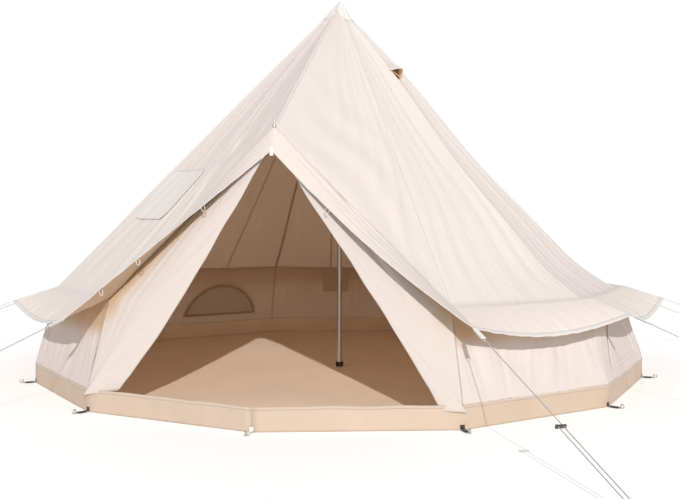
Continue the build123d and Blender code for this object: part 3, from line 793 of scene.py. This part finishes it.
def buildDoorCloth(settings={
    "rows": 90, "panel": 22, "flap": 16, "bend": 9, "back": 9, "sag": 0.010, "fold": 0.0045, "height": 0.021,
    "roll": 0.0075, "hinge": 0.012, "foot": 1.022,
    "leftWidths": (
        (0.02, 0.020), (0.12, 0.060), (0.22, 0.082), (0.42, 0.116), (0.67, 0.150), (0.83, 0.158), (1.0, 0.150),
    ),
    "rightWidths": ((0.02, 0.018), (0.12, 0.052), (0.22, 0.062), (0.46, 0.064), (0.75, 0.074), (1.0, 0.100)),
    "leftSlant": 0.150, "rightSlant": 0.075,
}):
    # beside the door one sheet runs from the hood to the leg line, on to a rounded edge and back behind it
    for side, name in ((-1, "left"), (1, "right")):
        edge, inwards, outwards = doorFrame(side)
        along = np.linspace(0.02, settings["foot"], settings["rows"])[:, None]
        knots = np.array(settings[f"{name}Widths"])
        kernel = np.interp(along, knots[:, 0], knots[:, 1])
        for smoothing in range(3):
            padded = np.concatenate([kernel[:1], kernel, kernel[-1:]])
            kernel = (padded[:-2] + padded[1:-1] * 2 + padded[2:]) / 4
        width = kernel + 0.004 * ripple(along, (2.3, 3.9, 6.3), 47 + side) * easeIn(along, 0.1, 0.3)
        legLine = np.array(eyelet) + np.array(edge) * along[..., None]

        wall = rim(wallRadius, side * sideAngle, wallTop - 0.002)
        foot = rim(baseRadius, side * sideAngle, kerbHeight)
        head = eyelet.lerp(foot, 0.02) - Vector((0, 0, 0.004))
        bend = (wall.z - head.z) / (foot.z - head.z)
        share = (along - along[0]) / (1 - along[0])
        first, second = np.clip(share / bend, 0, 1), np.maximum((share - bend) / (1 - bend), 0)
        top, knee = np.array(head), np.array(wall)
        outer = top + (knee - top) * first[..., None] + (np.array(foot) - knee) * second[..., None]
        outer = outer - np.array(outwards) * (0.009 * (1 - first) ** 0.3)[..., None]
        over = np.linspace(1, 0, settings["panel"])[None, :]
        panel = legLine * (1 - over[..., None]) + outer * over[..., None]
        held = np.sin(np.pi * over) * np.sin(np.pi * np.minimum(share, 1))
        folds = settings["fold"] * ripple(over * 0.8 + share * 0.25, (2.2, 3.7, 6.1), 31 + side)
        stand = settings["height"] * np.clip(along / 0.16, 0, 1)
        off = 0.0015 + held * (settings["sag"] + folds) + stand * 0.45 * (1 - over) ** 3
        panel = panel + np.array(outwards) * off[..., None]

        sweep = np.linspace(0, 1, settings["flap"] + 1)[None, 1:]
        roll = np.minimum(settings["roll"], width * 0.35)
        flapAcross = (width - roll) * sweep
        ruck = 0.0035 * ripple(along * 1.1 + sweep * 0.3, (2.1, 4.7, 7.3), 43 + side)
        ruck = ruck * np.sin(np.pi * sweep) * easeIn(along, 0.1, 0.3)
        flapRise = 0.0015 + stand * (0.45 + 0.55 * np.sin(sweep * np.pi / 2)) + ruck
        arc = np.linspace(0, np.pi, settings["bend"] + 1)[None, 1:]
        bendAcross = width - roll + roll * np.sin(arc)
        bendRise = 0.0015 + stand - roll + roll * np.cos(arc)
        back = np.linspace(0, 1, settings["back"] + 1)[None, 1:]
        backAcross = (width - roll) * (1 - back * 0.7)
        backRise = 0.0015 + stand - 2 * roll + 0.003 * np.sin(back * np.pi) + 0 * backAcross
        across = np.concatenate([flapAcross, bendAcross, backAcross], axis=1)
        rise = np.concatenate([flapRise, bendRise, backRise], axis=1)
        lifted = settings[f"{name}Slant"] * easeIn(along, 0.82, 1.0) ** 1.6 * np.clip(across / width, 0, 1)
        unit = np.array(edge.normalized())
        flap = (
            legLine + np.array(inwards) * across[..., None] + np.array(outwards) * rise[..., None]
            - unit * lifted[..., None]
        )
        points = np.concatenate([panel, flap], axis=1)
        if side > 0:
            points = points[:, ::-1]
        steps = np.linalg.norm(np.diff(points, axis=1), axis=2)
        run = np.concatenate([np.zeros((len(points), 1)), np.cumsum(steps, axis=1)], axis=1)
        cut = np.stack([run, np.broadcast_to(along * edge.length, run.shape)], -1)
        # painted shade: a band of the door cloth along its outer edge, above the wall's top, is tinted towards the
        # warm shade colour, standing in for the hood brim's shadow on it
        reach = np.linalg.norm(panel - outer, axis=2)
        under = (1 - easeIn(reach, 0.03, 0.125)) * easeIn(along, 0.06, 0.2)
        under = under * (1 - easeIn(share, bend, bend + 0.12))
        under = np.concatenate([under, 0 * across], axis=1)
        under = under[:, ::-1] if side > 0 else under
        layers = [canvasFlap, canvasInner]
        sheet = gridPiece(f"door_cloth_{name}", points, cut, layers, 0.0016, None, golden=under)
        settled(sheet)
        start = eyelet - inwards * settings["hinge"]
        eyelet + inwards * settings["hinge"]
        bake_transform(sheet)
        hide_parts("front_panels", f"door_flap_{name}")


def buildGround(settings={"columns": 26, "rows": 12, "wrinkle": 0.0035, "bulge": 0.010, "hem": 0.014}):
    turns = np.linspace(0, 360, 12 * settings["columns"] + 1)
    share = turns / sideAngle - np.floor(turns / sideAngle + 1e-9)
    chord = math.cos(math.radians(15)) / np.cos(np.radians((share - 0.5) * sideAngle))
    radius = (baseRadius - 0.0005) * chord
    around, angle = turns / 360, np.radians(turns)
    ring = np.sin(np.pi * np.clip(share, 0, 1))
    side = 2 * math.sin(math.radians(15)) * baseRadius

    def kerbSheet(name, ups, lift, materials, thick):
        ups = ups[:, None]
        wave = ripple(around, (31, 53, 88), 51)
        lean = settings["bulge"] * np.sin(np.pi * np.clip(ups, 0, 1)) * (0.3 + wave) - 0.002 * ups
        out = radius + np.minimum(lean * ring, 0.003) + lift
        height = kerbHeight * ups + 0.0035 * ups * (0.6 + ripple(around, (24, 41), 53)) * ring
        points = np.stack([out * np.sin(angle), -out * np.cos(angle), height + 0 * out], -1)
        cut = crossed(turns / sideAngle * side, height, points)
        if lift:
            cut = np.stack([cut[..., 1] - height[:1] + settings["hem"] / 2, cut[..., 0]], -1)
        return gridPiece(name, points, cut, materials, thick)

    ups = np.linspace(1, 0, settings["rows"])
    kerb = kerbSheet("kerb_sheet", ups, 0.0, [groundKerb, groundSheet], 0.0022)
    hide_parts("groundsheet_kerb")
    kerbSheet("kerb_hem", np.linspace(1.015, 1 - settings["hem"] / kerbHeight, 5), 0.0014, [tapeSeam], 0.0008)

    shares = np.linspace(0.02, 1, 60)[:, None]
    reach = (radius - 0.003)[None, :-1] * shares
    x, y = reach * np.sin(angle[:-1]), -reach * np.cos(angle[:-1])
    calm = np.sin(np.pi * np.clip(shares, 0.02, 1)) ** 0.5
    waves = ripple(x * 0.31 + y * 0.17, (1.3, 2.7, 5.1), 57) * ripple(y * 0.4, (1.1, 2.3), 59)
    z = 0.0030 + settings["wrinkle"] * calm * (0.5 + 0.5 * waves)
    points, cut = np.stack([x, y, z], -1), np.stack([x, y], -1)
    floor = gridPiece("floor_sheet", points, cut, [groundSheet], 0.0028, closed=True)
    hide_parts("groundsheet_floor")


tapeSeam = canvasPaint("kerb_binding", (0.50, 0.41, 0.33), (-0.008, 0.008))


def panelPatch(
    name, turnAt, downAt, width, height, lift, thick, materials, body="tent", corner=0.07, bulge=0.0,
):
    # a rounded rectangle of cloth lying on the roof
    rows, columns = 22, 28
    v = np.linspace(-0.5, 0.5, rows)[:, None]
    u = np.sin(np.linspace(-np.pi / 2, np.pi / 2, columns))[None, :] / 2
    edge = np.abs(v) * height - (height / 2 - corner)
    pull = corner - np.sqrt(np.maximum(corner * corner - np.maximum(edge, 0) ** 2, 0))
    across = u * (width - 2 * pull)
    down = v * height + 0 * u
    slant = math.hypot(wallRadius * math.cos(math.radians(15)), peakHeight - wallHeight)
    downShare = downAt + down / slant
    half = downShare * wallRadius * math.sin(math.radians(15))
    turn = turnAt + 15 * across / half
    full = np.cos(np.pi * v) * np.cos(np.pi * u)
    points = roofSurface(turn, downShare, lift + bulge * full)
    return gridPiece(name, points, np.stack([across, down], -1), materials, thick, body)


def buildStoveFlap(settings={"turn": -45.0, "height": 1.185, "patch": (0.42, 0.34), "lap": 0.04}):
    down = (peakHeight - settings["height"]) / (peakHeight - wallHeight)
    width, height = settings["patch"]
    patch = panelPatch(
        "stove_patch_cloth", settings["turn"], down, width, height, 0.0022, 0.0016, [heatCloth],
        corner=0.035,
    )
    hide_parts("stove_patch")
    lap = 2 * settings["lap"]
    flap = panelPatch(
        "stove_flap_canvas", settings["turn"], down, width + lap, height + lap, 0.0060, 0.0018,
        [canvasPatch, canvasInner], "stove_flap_body", bulge=0.002,
    )
    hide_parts("stove_flap")


def buildVents(settings={
    "height": 2.05, "shift": -0.03, "raise": 0.014, "turn": -45.0, "width": 0.12, "length": 0.19, "stand": 0.066,
    "over": 0.028, "netShare": 0.86, "netLift": 0.004,
}):
    hoods, nets = [], []
    for number, angle in enumerate(ventTurns):
        down = (peakHeight - settings["height"]) / (peakHeight - wallHeight)
        slope = math.atan2(peakHeight - wallHeight, wallRadius * math.cos(math.radians(15)))
        along = Vector((math.cos(math.radians(angle)), math.sin(math.radians(angle)), 0))
        outward = Vector((math.sin(math.radians(angle)), -math.cos(math.radians(angle)), 0))
        uphill = (outward * -math.cos(slope) + Vector((0, 0, math.sin(slope)))).normalized()
        normal = along.cross(uphill)
        centre = Vector(roofSurface(angle, down)) + along * settings["shift"] + normal * settings["raise"]
        spin = Matrix.Rotation(math.radians(settings["turn"]), 3, normal)
        x, y = spin @ along, spin @ uphill
        half, mouth = settings["width"] / 2, -settings["length"] / 2
        rows, columns = 18, 25
        run = np.linspace(0, 1, rows)[:, None]
        bow = np.linspace(-1, 1, columns)[None, :]
        roof = (1 - np.abs(bow) ** 1.35)
        lift = settings["stand"] * run ** 0.9 * roof + 0.0015 - (0.012 + 0.014 * run) * np.abs(bow) ** 2
        side = half * run * bow * 1.04
        fore = -mouth - run * (settings["length"] + settings["over"] * roof)

        def inPlace(aside, ahead, above):
            ways = ((aside, x), (ahead, y), (above, normal))
            return np.array(centre) + sum(far[..., None] * np.array(way) for far, way in ways)

        points = inPlace(side, fore, lift)
        cut = np.stack([side, fore], -1)
        hoods.append(gridPiece(f"vent_{number}", points, cut, [canvasPatch, canvasLining], 0.0030))
        netFore = -mouth - run * settings["length"]
        netPoints = inPlace(side * settings["netShare"], netFore, settings["netLift"] + 0 * side)
        nets.append(gridPiece(f"net_{number}", netPoints, cut, [canvasLining], 0.0008))
    hood = joined("vent_hood_canvas", hoods)
    net = joined("vent_net", nets)
    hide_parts("vent_hoods")
    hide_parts("vent_meshes")


def buildPocket(settings={"turn": -165.0, "shift": -0.05, "size": (0.22, 0.175), "sill": 0.255}):
    width, height = settings["size"]
    u = np.linspace(-0.5, 0.5, 20)[None, :]
    v = np.linspace(0, 1, 16)[:, None]
    across, up = u * width + 0 * v, v * height + 0 * u
    turn, rise = panelSpot(settings["turn"], settings["shift"] + across, settings["sill"] + up)
    lift = -0.004 - 0.010 * np.cos(np.pi * u) * (0.35 + 0.65 * v)
    points = wallSurface(turn, rise, lift)
    pocket = gridPiece("pocket_canvas", points, np.stack([across, up], -1), [canvasPocket], 0.0016)
    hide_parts("inner_pocket")


guyLook = {
    "turns": (30, 60, 90, 120, 150, 180, -150, -120, -90, -60, -30), "reach": 3.455, "grip": 0.035,
    "rope": 0.005, "length": 1.8806,
    "route": [
        (0.1228, 0, 0), (1.3736, 0, 0), (1.4152, 0, 0), (1.4152, -0.0236, 0), (1.3736, -0.0236, 0),
        (0.8407, -0.0236, 0),
    ],
    "strap": 0.096, "strapWidth": 0.025, "knot": 0.8427, "strandGap": 0.0236,
}


def guyFrame(turn):
    # the guy line's own frame: along the rope from the eave, across it, and along its peg
    start = rim(eaveRadius, turn, eaveHeight - cloth / 2)
    along = (rim(guyLook["reach"], turn, guyLook["grip"]) - start).normalized()
    across = Vector((math.cos(math.radians(turn)), math.sin(math.radians(turn)), 0))
    up = along.cross(across).normalized()
    frame = Matrix((along, up.cross(along), up)).transposed().to_4x4()
    frame.translation = start
    return frame


def buildRopes():
    for number, turn in enumerate(guyLook["turns"], 1):
        place = guyFrame(turn)
        route = [place @ Vector(point) for point in guyLook["route"]]
        curve = bpy.data.curves.new(f"guy_cord_{number:02d}", "CURVE")
        curve.dimensions = "3D"
        spline = curve.splines.new("NURBS")
        spline.points.add(len(route) - 1)
        for point, spot in zip(spline.points, route):
            point.co = (*spot, 1)
        spline.order_u = 3
        spline.use_endpoint_u = True
        curve.resolution_u = 10
        curve.bevel_depth = guyLook["rope"] / 2
        curve.bevel_resolution = 3
        curve.use_fill_caps = True
        curve.materials.append(ropeCord)
        cord = bpy.data.objects.new(curve.name, curve)
        bpy.context.scene.collection.objects.link(cord)
        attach(cord, "tent")
        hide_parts(f"guy_rope_{number:02d}")


def sectionBand(name, path, width, thick, place, material):
    # a flat tape along a path in its own frame, with rounded edges
    path = np.array(path, float)
    along = np.gradient(path, axis=0)
    along /= np.linalg.norm(along, axis=1)[:, None]
    up = np.stack([-along[:, 2], 0 * along[:, 0], along[:, 0]], -1)
    top = [(-0.5, 0.0), (-0.46, 0.5), (0.0, 0.55), (0.46, 0.5)]
    section = top + [(0.5, 0.0), (0.46, -0.5), (0.0, -0.55), (-0.46, -0.5)]
    run = np.concatenate([[0], np.cumsum(np.linalg.norm(np.diff(path, axis=0), axis=1))])
    rings = [path + up * high * thick + np.array([0, 1, 0]) * share * width for share, high in section]
    points = np.stack(rings + [rings[0]], axis=1)
    points = points @ np.array(place.to_3x3()).T + np.array(place.translation)
    places = np.array([share for share, high in section] + [section[0][0]]) * width
    return gridPiece(name, points, crossed(places, run[:, None], points), [material])


def loopPath(length, ring, gap):
    # out along the top, round the ring's wire and back underneath
    out = [(x, 0, gap) for x in np.linspace(0.0, length, 9)]
    turn = [(length + ring * math.sin(a), 0, gap * math.cos(a)) for a in np.linspace(0, math.pi, 9)[1:-1]]
    back = [(x, 0, -gap) for x in np.linspace(length, 0.012, 9)]
    return out + turn + back


def buildStraps():
    straps, loops = [], []
    for turn in guyLook["turns"]:
        place = guyFrame(turn)
        path = loopPath(guyLook["strap"] - 0.001, 0.0042, 0.0032)
        straps.append(sectionBand("strap", path, guyLook["strapWidth"], 0.0016, place, paleTape))
    strap = joined("guy_strap_tapes", straps)
    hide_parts("guy_straps")
    for step in range(12):
        turn = step * sideAngle
        base = rim(baseRadius + 0.0005, turn, 0.0048)
        angle = math.radians(turn)
        place = Matrix.Rotation(angle - math.pi / 2, 4, "Z")
        place.translation = base
        tape = darkTape if step else paleTape
        loops.append(sectionBand("loop", loopPath(0.0545, 0.0030, 0.0022), 0.025, 0.0014, place, tape))
    loop = joined("base_loop_tapes", loops)
    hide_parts("base_loops")
    corners = []
    for step in range(12):   # dark tape that runs up the kerb's corner from the loop
        turn = step * sideAngle
        low, high = rim(baseRadius + 0.0022, turn, 0.006), rim(baseRadius + 0.0012, turn, kerbHeight * 0.22)
        out = [low.lerp(high, k / 6) for k in range(7)]
        angle = math.radians(turn)
        across = Vector((math.cos(angle), math.sin(angle), 0))
        outward = Vector((math.sin(angle), -math.cos(angle), 0))
        rows = []
        for spot in out:
            places = (-1, -0.5, 0, 0.5, 1)
            rows.append([spot + across * 0.0125 * k - outward * (abs(k) * 0.0036) for k in places])
        points = np.array(rows)[::-1]
        cut = np.stack(np.meshgrid(np.linspace(-0.0125, 0.0125, 5), np.linspace(0, 0.05, 7)), -1)
        tape = darkTape if step else paleTape
        corners.append(gridPiece(f"corner_{step}", points, cut, [tape], 0.0012))
    joined("kerb_corner_tapes", corners)


def buildKnots():
    # the rope's end knot above each slider
    knots = []
    for turn in guyLook["turns"]:
        place = guyFrame(turn)
        angle = np.linspace(0, 2 * np.pi, 33)[:, None]
        ring = np.linspace(0, 2 * np.pi, 11)[None, :]
        swirl = 0.0036 + 0.0010 * np.sin(3 * angle)
        centre = np.stack([0.0022 * np.sin(2 * angle), swirl * np.cos(angle), swirl * np.sin(angle)], -1)
        outward = np.stack([0 * angle, np.cos(angle), np.sin(angle)], -1)
        ahead = np.array([1.0, 0, 0])
        points = centre + 0.0024 * (np.cos(ring)[..., None] * outward + np.sin(ring)[..., None] * ahead)
        points = points + np.array([guyLook["knot"], -guyLook["strandGap"], 0])
        points = points @ np.array(place.to_3x3()).T + np.array(place.translation)
        cut = np.stack(np.broadcast_arrays(ring * 0.0024, angle * 0.004), -1)
        knots.append(gridPiece("knot", points, cut, [ropeCord]))
    joined("guy_knots", knots)


def buildTies(settings={"left": (0.34, 0.66, 0.84), "right": (0.30,), "drop": 0.030, "width": 0.008}):
    ties = []
    for side, places in ((-1, settings["left"]), (1, settings["right"])):
        for spot in places:
            top = Vector(roofSurface(side * sideAngle * spot, 1.94)) + Vector((0, -0.003, 0))
            place = Matrix.Translation(top) @ Matrix.Rotation(math.radians(side * 18), 4, "Y")
            bends = np.linspace(0, math.pi, 15)
            path = [(0.011 * math.cos(bend), 0, -0.004 - settings["drop"] * math.sin(bend)) for bend in bends]
            ties.append(sectionBand("tie", path, settings["width"], 0.0016, place, paleTape))
    joined("brim_ties", ties)
    apexTop = Vector(roofSurface(0.0, 1.97)) + Vector((0, -0.003, 0.016))
    path = [(0.0, 0, -0.046 * k / 6) for k in range(7)]
    turned = Matrix.Translation(apexTop) @ Matrix.Rotation(math.pi / 2, 4, "Z")
    sectionBand("apex_tab", path, 0.020, 0.0024, turned, paleTape)


def paintFrameNodes():
    paints = {
        "centre_pole_lower": poleSteel, "centre_pole_middle": poleSteel, "centre_pole_upper": poleSteel,
        "centre_pole_spigots": poleSteel, "centre_pole_cap": blackRubber, "centre_pole_foot": blackRubber,
        "a_frame_lower_legs": poleSteel, "a_frame_upper_legs": poleSteel, "a_frame_hub": zincSteel,
        "a_frame_feet": blackRubber, "hood_grommet": zincSteel, "guy_rings": zincSteel, "guy_pegs": zincSteel,
        "base_rings": zincSteel, "base_pegs": zincSteel,
    }
    paints.update({f"guy_slider_{number:02d}": darkPlastic for number in range(1, 12)})
    for name, material in paints.items():
        node = frame["nodes"][name]
        node.data.materials.clear()
        node.data.materials.append(material)


def addFloor():
    mesh = bpy.data.meshes.new("studio_floor")
    far = 60.0
    mesh.from_pydata([(-far, -far, 0), (far, -far, 0), (far, far, 0), (-far, far, 0)], [], [(0, 1, 2, 3)])
    mesh.materials.append(floorPaint())
    floor = bpy.data.objects.new("studio_floor", mesh)
    floor.location.z = -0.0008
    bpy.context.scene.collection.objects.link(floor)


addCamera()
addLights()
addFloor()
buildRopes()
print("camera, light and ropes placed")
buildRoof()
buildRoofSeams()
buildPeakCap()
print("roof hung")
buildWalls()
buildWallSeams()
buildWindows()
buildDoorCloth()
buildGround()
print("walls, door and groundsheet made")
buildStoveFlap()
buildVents()
buildPocket()
buildStraps()
buildKnots()
buildTies()
paintFrameNodes()
print("fittings made")
